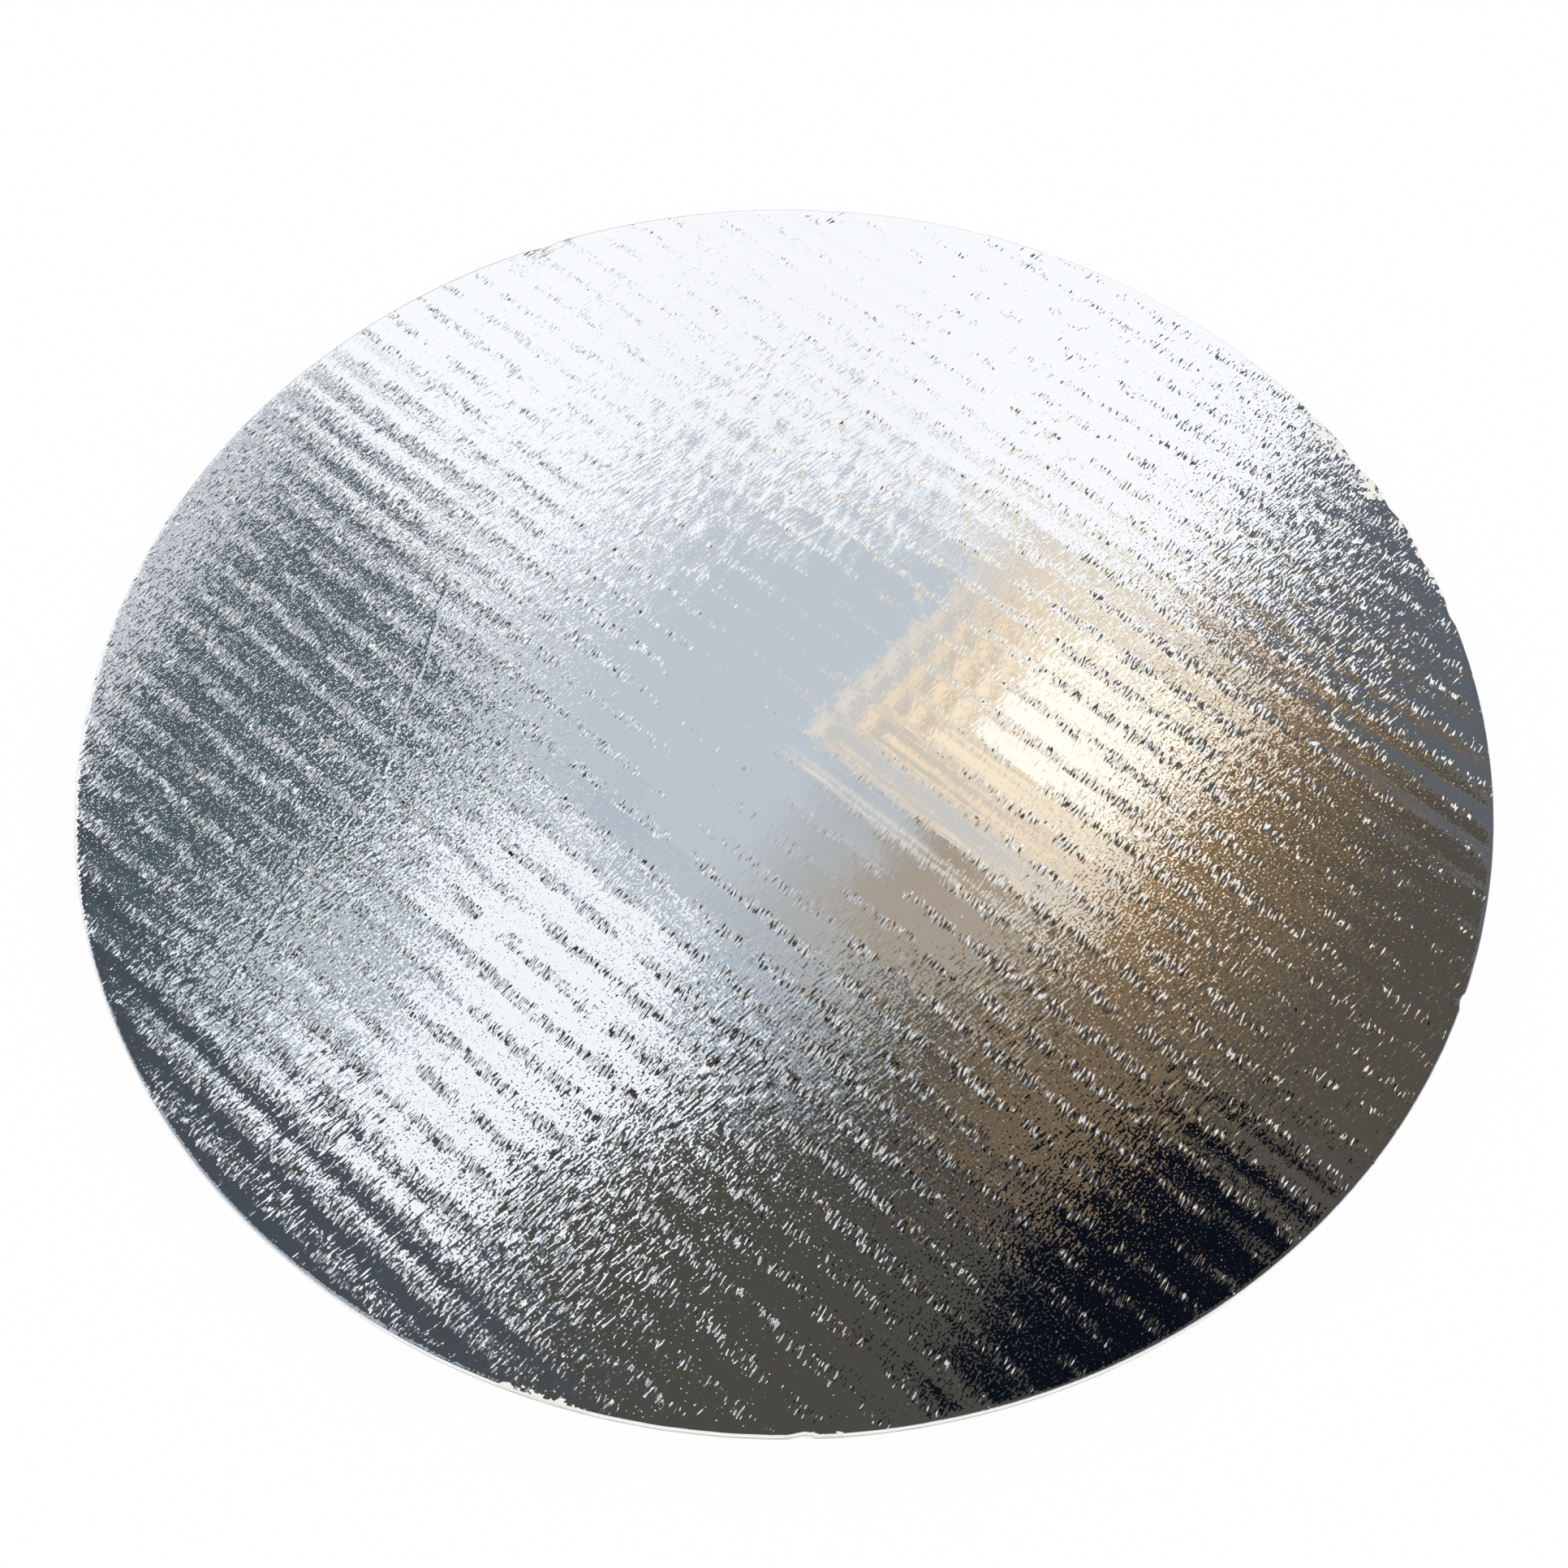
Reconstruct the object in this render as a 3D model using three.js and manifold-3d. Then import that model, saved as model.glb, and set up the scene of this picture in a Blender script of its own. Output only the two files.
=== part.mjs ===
// Round cake board: corrugated board with silver foil laminated to its face, die-cut to a circle.
// Millimetres, +Z up. The origin is the centre of the underside, and the flutes run along X.
import * as THREE from "three";
import { mergeVertices } from "three/addons/utils/BufferGeometryUtils.js";
import Module from "manifold-3d";

const wasm = await Module();
wasm.setup();

// The disc.
const BOARD_DIAMETER = 254;
const BOARD_THICKNESS = 3.4; // underside to the crests of the face
const RIM_SEGMENTS = 144;

// The flutes of the core that print through the face as a washboard.
const FLUTE_PITCH = 6.46;
const CREST_LAND = 2; // flat top of each ridge, where the liner is glued to a flute tip
const WASHBOARD_DEPTH = 0.12; // how far the liner dips between two crests
const VALLEY_STEPS = 6;

// The rim, crushed by the die, with the foil turned down over it.
const CRUSH_WIDTH = 4;
const CRUSH_DEPTH = 0.15;
const FOIL_ROLL = 0.6; // radius of the turned-down foil
const FOIL_ROLL_STEPS = 4;
const FOIL_DROP = 0.5; // straight stretch of the foil below its roll
const FOIL_STEP = 0.2; // how far the foil stands proud of the cut card
const PLY_GROOVES = 2; // lines between the plies of the cut edge
const GROOVE_DEPTH = 0.12;
const GROOVE_HEIGHT = 0.24;
const BOTTOM_EASE = 0.25;

// Damage along the rim: degrees from +X, length along the rim, and depth.
const NICKS = [
  { bearing: 51.8, length: 5.5, depth: 0.4 },
  { bearing: 57.6, length: 6.5, depth: 0.5 },
  { bearing: 63.7, length: 7, depth: 0.6 },
  { bearing: 69.1, length: 9, depth: 0.8 },
  { bearing: 75.4, length: 5, depth: 0.4 },
  { bearing: 105.2, length: 3.5, depth: 0.6 },
  { bearing: 127.1, length: 3, depth: 0.5 },
  { bearing: 154.9, length: 7, depth: 0.6 },
  { bearing: -47.3, length: 4, depth: 0.5 },
  { bearing: 15.2, length: 3, depth: 0.5 },
];
const NICK_SEGMENTS = 48;

const CUT_ALLOWANCE = 0.1; // how far a cutting solid passes the face that it cuts
const radius = BOARD_DIAMETER / 2;

const foil = new THREE.MeshStandardMaterial({
  color: 0xdfe3e6,
  roughness: 0.18,
  metalness: 1,
});

// A closed geometry as a solid that can be joined and cut.
function solidOf(geometry) {
  geometry.deleteAttribute("normal");
  geometry.deleteAttribute("uv");
  const merged = mergeVertices(geometry, 1e-4);
  return new wasm.Manifold(
    new wasm.Mesh({
      numProp: 3,
      vertProperties: merged.attributes.position.array,
      triVerts: new Uint32Array(merged.index.array),
    }),
  );
}

function geometryOf(solid) {
  const mesh = solid.getMesh();
  const geometry = new THREE.BufferGeometry();
  geometry.setAttribute("position", new THREE.BufferAttribute(mesh.vertProperties, 3));
  geometry.setIndex(new THREE.BufferAttribute(mesh.triVerts, 1));
  geometry.computeVertexNormals();
  return geometry;
}

// The section of the disc from the axis out: underside, cut card, turned-down foil, crushed rim.
function discSection() {
  const card = radius - FOIL_STEP;
  const rollTop = BOARD_THICKNESS - CRUSH_DEPTH;
  const foilEnd = rollTop - FOIL_ROLL - FOIL_DROP;
  const slope = CRUSH_DEPTH / (CRUSH_WIDTH - FOIL_ROLL);
  const section = new THREE.Path();
  section.moveTo(0, 0);
  section.lineTo(card - BOTTOM_EASE, 0);
  section.lineTo(card, BOTTOM_EASE);
  for (let i = 1; i <= PLY_GROOVES; i++) {
    const height = BOTTOM_EASE + ((foilEnd - BOTTOM_EASE) * i) / (PLY_GROOVES + 1);
    section.lineTo(card, height - GROOVE_HEIGHT / 2);
    section.lineTo(card - GROOVE_DEPTH, height);
    section.lineTo(card, height + GROOVE_HEIGHT / 2);
  }
  section.lineTo(card, foilEnd);
  section.lineTo(radius, foilEnd);
  section.absarc(radius - FOIL_ROLL, rollTop - FOIL_ROLL, FOIL_ROLL, 0, Math.PI / 2);
  section.lineTo(radius - CRUSH_WIDTH - CUT_ALLOWANCE / slope, BOARD_THICKNESS + CUT_ALLOWANCE);
  section.lineTo(0, BOARD_THICKNESS + CUT_ALLOWANCE);
  return section.getPoints(FOIL_ROLL_STEPS);
}

function disc() {
  return solidOf(new THREE.LatheGeometry(discSection(), RIM_SEGMENTS).rotateX(Math.PI / 2));
}

// A slab whose upper face is the washboard: flat crests with a shallow dip between each two.
function washboard() {
  const reach = Math.ceil(radius / FLUTE_PITCH + 1);
  const valley = FLUTE_PITCH - CREST_LAND;
  const section = new THREE.Shape();
  section.moveTo((reach + 1) * FLUTE_PITCH, -CUT_ALLOWANCE);
  for (let ridge = reach; ridge >= -reach; ridge--) {
    const crest = ridge * FLUTE_PITCH;
    section.lineTo(crest + CREST_LAND / 2, BOARD_THICKNESS);
    section.lineTo(crest - CREST_LAND / 2, BOARD_THICKNESS);
    for (let i = 1; i < VALLEY_STEPS; i++) {
      const across = i / VALLEY_STEPS;
      const dip = (WASHBOARD_DEPTH * (1 - Math.cos(2 * Math.PI * across))) / 2;
      section.lineTo(crest - CREST_LAND / 2 - valley * across, BOARD_THICKNESS - dip);
    }
  }
  section.lineTo(-(reach + 1) * FLUTE_PITCH, -CUT_ALLOWANCE);
  const length = BOARD_DIAMETER + 2 * CUT_ALLOWANCE;
  const slab = new THREE.ExtrudeGeometry(section, { depth: length, bevelEnabled: false });
  // The section lies in YZ once its own X is turned to Y, its Y to Z and its depth to X.
  slab.translate(0, 0, -length / 2);
  slab.applyMatrix4(
    new THREE.Matrix4().makeBasis(
      new THREE.Vector3(0, 1, 0),
      new THREE.Vector3(0, 0, 1),
      new THREE.Vector3(1, 0, 0),
    ),
  );
  return solidOf(slab);
}

// A round cutter that takes a lens out of the rim, as long and as deep as the nick.
function nickCutter({ bearing, length, depth }) {
  const rimBulge = length ** 2 / (8 * radius);
  const cutter = length ** 2 / (8 * (depth - rimBulge));
  const height = BOARD_THICKNESS + 2 * CUT_ALLOWANCE;
  const geometry = new THREE.CylinderGeometry(cutter, cutter, height, NICK_SEGMENTS);
  geometry.rotateX(Math.PI / 2);
  geometry.translate(radius + cutter - depth, 0, BOARD_THICKNESS / 2);
  geometry.rotateZ(THREE.MathUtils.degToRad(bearing));
  return solidOf(geometry);
}

function cakeBoard() {
  let solid = disc().intersect(washboard());
  for (const nick of NICKS) solid = solid.subtract(nickCutter(nick));
  const board = new THREE.Mesh(geometryOf(solid), foil);
  board.name = "cake_board";
  return board;
}

const group = new THREE.Group();
group.add(cakeBoard());

export default group;
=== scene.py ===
"""Dresses a round cake board: corrugated board with silver foil laminated to its face.

The board lies flat with its foil up. The flutes of its core run along X and print through the
foil as a washboard, and the foil mirrors a studio ceiling of soft fields with two lamps.
Lengths are in metres, but in millimetres in the effects and finishes.
"""

import logging
import math
from dataclasses import dataclass, field
from enum import Enum

import bpy
import numpy as np
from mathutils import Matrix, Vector, geometry, noise


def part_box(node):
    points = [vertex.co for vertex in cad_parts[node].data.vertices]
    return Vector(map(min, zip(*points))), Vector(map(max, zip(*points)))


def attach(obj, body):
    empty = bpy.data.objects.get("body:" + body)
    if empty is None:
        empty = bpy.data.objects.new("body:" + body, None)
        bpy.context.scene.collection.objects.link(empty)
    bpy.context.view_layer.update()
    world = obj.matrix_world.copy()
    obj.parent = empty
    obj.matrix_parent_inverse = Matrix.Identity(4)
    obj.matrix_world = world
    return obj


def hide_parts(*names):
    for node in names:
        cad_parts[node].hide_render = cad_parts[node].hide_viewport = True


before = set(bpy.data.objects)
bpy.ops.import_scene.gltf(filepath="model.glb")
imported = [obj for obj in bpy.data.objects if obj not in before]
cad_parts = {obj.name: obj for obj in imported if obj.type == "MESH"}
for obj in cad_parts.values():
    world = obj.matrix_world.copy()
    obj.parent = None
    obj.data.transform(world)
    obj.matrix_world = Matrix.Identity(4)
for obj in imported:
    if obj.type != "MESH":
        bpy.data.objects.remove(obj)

log = logging.getLogger("cake_board")

MM = 0.001
NODE = "cake_board"
BODY = "root"
TRIANGLES_INSIDE = 1
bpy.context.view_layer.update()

Colour = tuple[float, float, float]
Point = tuple[float, float, float]
Sheet = tuple[list[Vector], list[tuple[int, ...]]]
Socket = bpy.types.NodeSocket


def linear(colour: Colour) -> tuple[float, float, float, float]:
    """Turns a colour as seen on screen into the linear one that shaders use.

    Args:
        colour: red, green and blue as displayed, from 0 to 1.

    Returns:
        The linear colour with an alpha of 1.
    """
    knee, slope, offset, power = 0.04045, 12.92, 0.055, 2.4
    parts = (c / slope if c <= knee else ((c + offset) / (1 + offset)) ** power for c in colour)
    return (*parts, 1.0)


def lit(colour: Colour, strength: float) -> tuple[float, float, float, float]:
    """Turns a colour as seen on screen into light of some strength."""
    return (*(c * strength for c in linear(colour)[:3]), 1.0)


def smooth(share: float) -> float:
    """Rises smoothly from 0 to 1 as its argument does, and stays level beyond."""
    held = min(1.0, max(0.0, share))
    return held * held * (3 - 2 * held)


class Graph:
    """A node tree with short calls that add nodes and link them."""

    def __init__(self, tree: bpy.types.NodeTree) -> None:
        """Takes the tree that the nodes go into."""
        self.tree = tree

    def node(self, kind: str, **settings: object) -> bpy.types.Node:
        """Adds a node.

        Args:
            kind: the node's type name.
            settings: properties to set on it.

        Returns:
            The new node.
        """
        made = self.tree.nodes.new(kind)
        for name, value in settings.items():
            setattr(made, name, value)
        return made

    def feed(self, socket: Socket, value: object) -> None:
        """Links a socket to an input, or sets a plain value on it."""
        if isinstance(value, bpy.types.NodeSocket):
            self.tree.links.new(value, socket)
        else:
            socket.default_value = value

    def math(self, operation: str, *values: object) -> Socket:
        """Adds a Math node and gives its output."""
        made = self.node("ShaderNodeMath", operation=operation)
        for socket, value in zip(made.inputs, values):
            self.feed(socket, value)
        return made.outputs[0]

    def vector(self, operation: str, *values: object) -> Socket:
        """Adds a Vector Math node and gives its vector output."""
        made = self.node("ShaderNodeVectorMath", operation=operation)
        for socket, value in zip(made.inputs, values):
            self.feed(socket, value)
        return made.outputs[0]

    def measure(self, operation: str, *values: object) -> Socket:
        """Adds a Vector Math node and gives its number, such as a length."""
        made = self.node("ShaderNodeVectorMath", operation=operation)
        for socket, value in zip(made.inputs, values):
            self.feed(socket, value)
        return made.outputs["Value"]

    def scale(self, value: Socket, factor: object) -> Socket:
        """Multiplies a vector by a number."""
        made = self.node("ShaderNodeVectorMath", operation="SCALE")
        self.feed(made.inputs[0], value)
        self.feed(made.inputs["Scale"], factor)
        return made.outputs[0]

    def step(self, value: object, low: object, high: object) -> Socket:
        """Gives 0 below low and 1 above high, with a smooth rise between them."""
        made = self.node("ShaderNodeMapRange", interpolation_type="SMOOTHSTEP")
        for name, given in (("Value", value), ("From Min", low), ("From Max", high)):
            self.feed(made.inputs[name], given)
        return made.outputs["Result"]

    def fall(self, value: object, low: object, high: object) -> Socket:
        """Gives 1 below low and 0 above high, with a smooth fall between them."""
        return self.math("SUBTRACT", 1.0, self.step(value, low, high))

    def blend(self, factor: object, low: object, high: object) -> Socket:
        """Gives low where the factor is 0 and high where it is 1."""
        made = self.node("ShaderNodeMix", data_type="FLOAT")
        for name, given in (("Factor", factor), ("A", low), ("B", high)):
            self.feed(made.inputs[name], given)
        return made.outputs[0]

    def mix(self, factor: object, first: object, second: object) -> Socket:
        """Mixes two colours and gives the result."""
        made = self.node("ShaderNodeMix", data_type="RGBA")
        named = {socket.identifier: socket for socket in made.inputs}
        self.feed(named["Factor_Float"], factor)
        self.feed(named["A_Color"], first)
        self.feed(named["B_Color"], second)
        return next(s for s in made.outputs if s.identifier == "Result_Color")

    def noise(self, point: Socket, detail: float = 1.0, flat: bool = True) -> bpy.types.Node:
        """Adds a noise whose features are about one unit across.

        Args:
            point: where the noise is read.
            detail: how many finer layers lie over the first.
            flat: whether the noise leaves Z out, which is quicker.

        Returns:
            The noise node, with one value and a colour of three.
        """
        made = self.node("ShaderNodeTexNoise", noise_dimensions="2D" if flat else "3D")
        for name, given in (("Vector", point), ("Scale", 1.0), ("Detail", detail)):
            self.feed(made.inputs[name], given)
        return made

    def split(self, point: Socket) -> tuple[Socket, Socket, Socket]:
        """Gives the three parts of a vector."""
        made = self.node("ShaderNodeSeparateXYZ")
        self.feed(made.inputs[0], point)
        return made.outputs[0], made.outputs[1], made.outputs[2]

    def join(self, x: object, y: object, z: object = 0.0) -> Socket:
        """Makes a vector of three parts."""
        made = self.node("ShaderNodeCombineXYZ")
        for socket, value in zip(made.inputs, (x, y, z)):
            self.feed(socket, value)
        return made.outputs[0]

    def place(self, group: bpy.types.NodeTree, **values: object) -> bpy.types.Node:
        """Adds a node group.

        Args:
            group: the shader node group.
            values: what feeds each input, with _ for a space in its name.

        Returns:
            The group node.
        """
        made = self.node("ShaderNodeGroup", node_tree=group)
        for name, value in values.items():
            self.feed(made.inputs[name.replace("_", " ")], value)
        return made


GroupParts = tuple[Graph, bpy.types.Node, bpy.types.Node]


def new_group(name: str, inputs: dict[str, str], outputs: dict[str, str]) -> GroupParts:
    """Starts a shader node group.

    Args:
        name: the group's name.
        inputs: the socket type of each input, by name.
        outputs: the socket type of each output, by name.

    Returns:
        The group's graph, its input node and its output node.
    """
    tree = bpy.data.node_groups.new(name, "ShaderNodeTree")
    for in_out, sockets in (("INPUT", inputs), ("OUTPUT", outputs)):
        for socket_name, kind in sockets.items():
            tree.interface.new_socket(name=socket_name, in_out=in_out, socket_type=kind)
    graph = Graph(tree)
    return graph, graph.node("NodeGroupInput"), graph.node("NodeGroupOutput")


FLOAT = "NodeSocketFloat"
VECTOR = "NodeSocketVector"


@dataclass
class Effects:
    """The shader node groups that the materials share.

    Sizes are in millimetres. An edge is the two values between which a smooth step rises or falls.
    """

    line_drift: tuple[float, float, float] = (9.0, 5.0, 1.0)
    line_edge: tuple[float, float] = (0.3, 1.3)
    gap_size: tuple[float, float, float] = (7.0, 3.5, 1.0)
    gap_place: tuple[float, float, float] = (31.0, 17.0, 0.0)
    gap_edge: float = 0.3
    crease_ends: tuple[float, float] = (0.15, 0.85)
    tear_window: tuple[float, float] = (0.3, 1.0)
    tear_ragged: tuple[float, float] = (0.3, 0.7)
    tear_edge: float = 0.2
    fibre_detail: float = 4.0
    mottle_detail: float = 3.0
    mottle_scale: tuple[float, float, float] = (0.07, 0.07, 0.07)

    def __post_init__(self) -> None:
        """Builds each group once."""
        self.bands = self.flute_bands()
        self.strokes = self.foil_strokes()
        self.tears = self.rim_tears()
        self.long_crease = self.straight_crease()
        self.fibres = self.paper_fibres()

    def flute_bands(self) -> bpy.types.NodeTree:
        """Makes the lines where the liner is glued to the flute tips.

        Returns:
            A group whose Band is 1 on a glue line and 0 between two, and whose Side runs from -1
            on one edge of the line to 1 on the other.
        """
        g, given, result = new_group(
            "flute_bands",
            {"Point": VECTOR, "Pitch": FLOAT, "Width": FLOAT, "Wander": FLOAT, "Gaps": FLOAT},
            {"Band": FLOAT, "Side": FLOAT},
        )
        point, pitch, gaps = (given.outputs[name] for name in ("Point", "Pitch", "Gaps"))
        drift = g.noise(g.vector("DIVIDE", point, self.line_drift)).outputs[0]
        shift = g.math("MULTIPLY", g.math("SUBTRACT", drift, 0.5), given.outputs["Wander"])
        turns = g.math("DIVIDE", g.math("ADD", g.split(point)[1], shift), pitch)
        aside = g.math("MULTIPLY", g.math("SUBTRACT", turns, g.math("ROUND", turns)), pitch)
        side = g.math("DIVIDE", aside, g.math("MULTIPLY", given.outputs["Width"], 0.5))
        line = g.fall(g.math("ABSOLUTE", side), *self.line_edge)
        place = g.vector("ADD", g.vector("DIVIDE", point, self.gap_size), self.gap_place)
        kept = g.step(g.noise(place).outputs[0], gaps, g.math("ADD", gaps, self.gap_edge))
        g.feed(result.inputs["Band"], g.math("MULTIPLY", line, kept))
        g.feed(result.inputs["Side"], g.math("MULTIPLY", side, line))
        return g.tree

    def foil_strokes(self) -> bpy.types.NodeTree:
        """Makes the small creases of the foil, as tilts of its surface.

        Returns:
            A group whose Tilt leans gently in most places and steeply in a few.
        """
        g, given, result = new_group(
            "foil_strokes",
            {
                "Point": VECTOR, "Width": FLOAT, "Length": FLOAT, "Lean": FLOAT,
                "Seed": FLOAT, "Gentle": FLOAT, "Steep": FLOAT,
            },
            {"Tilt": VECTOR},
        )
        lean, seed = given.outputs["Lean"], given.outputs["Seed"]
        x, y, _ = g.split(given.outputs["Point"])
        across = g.math("DIVIDE", g.math("MULTIPLY_ADD", y, lean, x), given.outputs["Width"])
        along = g.math("DIVIDE", y, given.outputs["Length"])
        place = g.join(g.math("ADD", across, seed), g.math("ADD", along, seed))
        mixed = g.noise(place, 0.0).outputs["Color"]
        tilt = g.vector("MULTIPLY_ADD", mixed, (2.0,) * 3, (-1.0,) * 3)
        cube = g.vector("MULTIPLY", g.vector("MULTIPLY", tilt, tilt), tilt)
        gentle = g.scale(tilt, given.outputs["Gentle"])
        steep = g.scale(cube, given.outputs["Steep"])
        g.feed(result.inputs["Tilt"], g.vector("ADD", gentle, steep))
        return g.tree

    def straight_crease(self) -> bpy.types.NodeTree:
        """Makes one long fold in the foil, as a tilt to either side of a line.

        Returns:
            A group whose Tilt leans away from the line on both its sides.
        """
        g, given, result = new_group(
            "straight_crease",
            {
                "Point": VECTOR, "Stray": FLOAT, "Start": VECTOR, "Along": VECTOR,
                "Width": FLOAT, "Steep": FLOAT,
            },
            {"Tilt": VECTOR},
        )
        away = g.vector("SUBTRACT", given.outputs["Point"], given.outputs["Start"])
        length = g.measure("LENGTH", given.outputs["Along"])
        unit = g.vector("NORMALIZE", given.outputs["Along"])
        unit_x, unit_y, _ = g.split(unit)
        aside = g.join(g.math("MULTIPLY", unit_y, -1.0), unit_x)
        share = g.math("DIVIDE", g.measure("DOT_PRODUCT", away, unit), length)
        start, end = self.crease_ends
        ends = g.math("MULTIPLY", g.step(share, 0.0, start), g.fall(share, end, 1.0))
        off = g.math("ADD", g.measure("DOT_PRODUCT", away, aside), given.outputs["Stray"])
        side = g.math("DIVIDE", off, given.outputs["Width"])
        held = g.math("MAXIMUM", g.math("MINIMUM", side, 1.0), -1.0)
        fold = g.math("MULTIPLY", held, g.math("SUBTRACT", 1.0, g.math("ABSOLUTE", held)))
        lean = g.math("MULTIPLY", g.math("MULTIPLY", fold, ends), given.outputs["Steep"])
        g.feed(result.inputs["Tilt"], g.scale(aside, lean))
        return g.tree

    def rim_tears(self) -> bpy.types.NodeTree:
        """Makes a ragged place along the rim where the foil is torn off the paper.

        Returns:
            A group whose Torn is 1 where the paper shows and 0 on foil.
        """
        g, given, result = new_group(
            "rim_tears",
            {
                "Point": VECTOR, "Ragged": FLOAT, "Radius": FLOAT,
                "Bearing": FLOAT, "Spread": FLOAT, "Reach": FLOAT,
            },
            {"Torn": FLOAT},
        )
        point = given.outputs["Point"]
        x, y, _ = g.split(point)
        inset = g.math("SUBTRACT", given.outputs["Radius"], g.measure("LENGTH", point))
        turn = g.math("SUBTRACT", g.math("ARCTAN2", y, x), given.outputs["Bearing"])
        share = g.math("DIVIDE", g.math("ABSOLUTE", turn), given.outputs["Spread"])
        window = g.fall(share, *self.tear_window)
        ragged = g.step(given.outputs["Ragged"], *self.tear_ragged)
        reach = g.math("MULTIPLY", given.outputs["Reach"], g.math("MULTIPLY", window, ragged))
        torn = g.step(g.math("SUBTRACT", reach, inset), 0.0, self.tear_edge)
        g.feed(result.inputs["Torn"], torn)
        return g.tree

    def paper_fibres(self) -> bpy.types.NodeTree:
        """Makes the mottled, fibrous look of a paper liner.

        Returns:
            A group whose Fibre and Mottle run from 0 to 1.
        """
        g, given, result = new_group(
            "paper_fibres", {"Point": VECTOR, "Size": FLOAT}, {"Fibre": FLOAT, "Mottle": FLOAT}
        )
        size = given.outputs["Size"]
        scaled = g.vector("DIVIDE", given.outputs["Point"], g.join(size, size, size))
        broad = g.vector("MULTIPLY", scaled, self.mottle_scale)
        g.feed(result.inputs["Fibre"], g.noise(scaled, self.fibre_detail, False).outputs[0])
        g.feed(result.inputs["Mottle"], g.noise(broad, self.mottle_detail, False).outputs[0])
        return g.tree


def new_material(name: str) -> tuple[bpy.types.Material, Graph, bpy.types.Node, Socket]:
    """Starts a material.

    Args:
        name: the material's name.

    Returns:
        The material, its graph, its Principled BSDF and the point on the board in millimetres.
    """
    material = bpy.data.materials.new(name)
    material.use_nodes = True
    g = Graph(material.node_tree)
    shader = material.node_tree.nodes["Principled BSDF"]
    place = g.node("ShaderNodeTexCoord").outputs["Object"]
    return material, g, shader, g.vector("MULTIPLY", place, (1 / MM, 1 / MM, 1 / MM))


@dataclass(frozen=True)
class Stroke:
    """A layer of small creases in the foil, with the tilts that they give it."""

    width: float
    length: float
    lean: float
    gentle: float
    steep: float
    seed: float


@dataclass(frozen=True)
class Tear:
    """A stretch of the rim, in degrees, where the foil is torn off up to a reach."""

    bearing: float
    spread: float
    reach: float


@dataclass(frozen=True)
class Crease:
    """A long fold in the foil: its two ends, its half width and its steepness."""

    start: tuple[float, float]
    end: tuple[float, float]
    width: float
    steep: float


@dataclass(frozen=True)
class Scuff:
    """A place where the foil is more creased, or less: its centre, its two reaches and its share."""

    centre: tuple[float, float]
    reach: tuple[float, float]
    share: float


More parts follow.
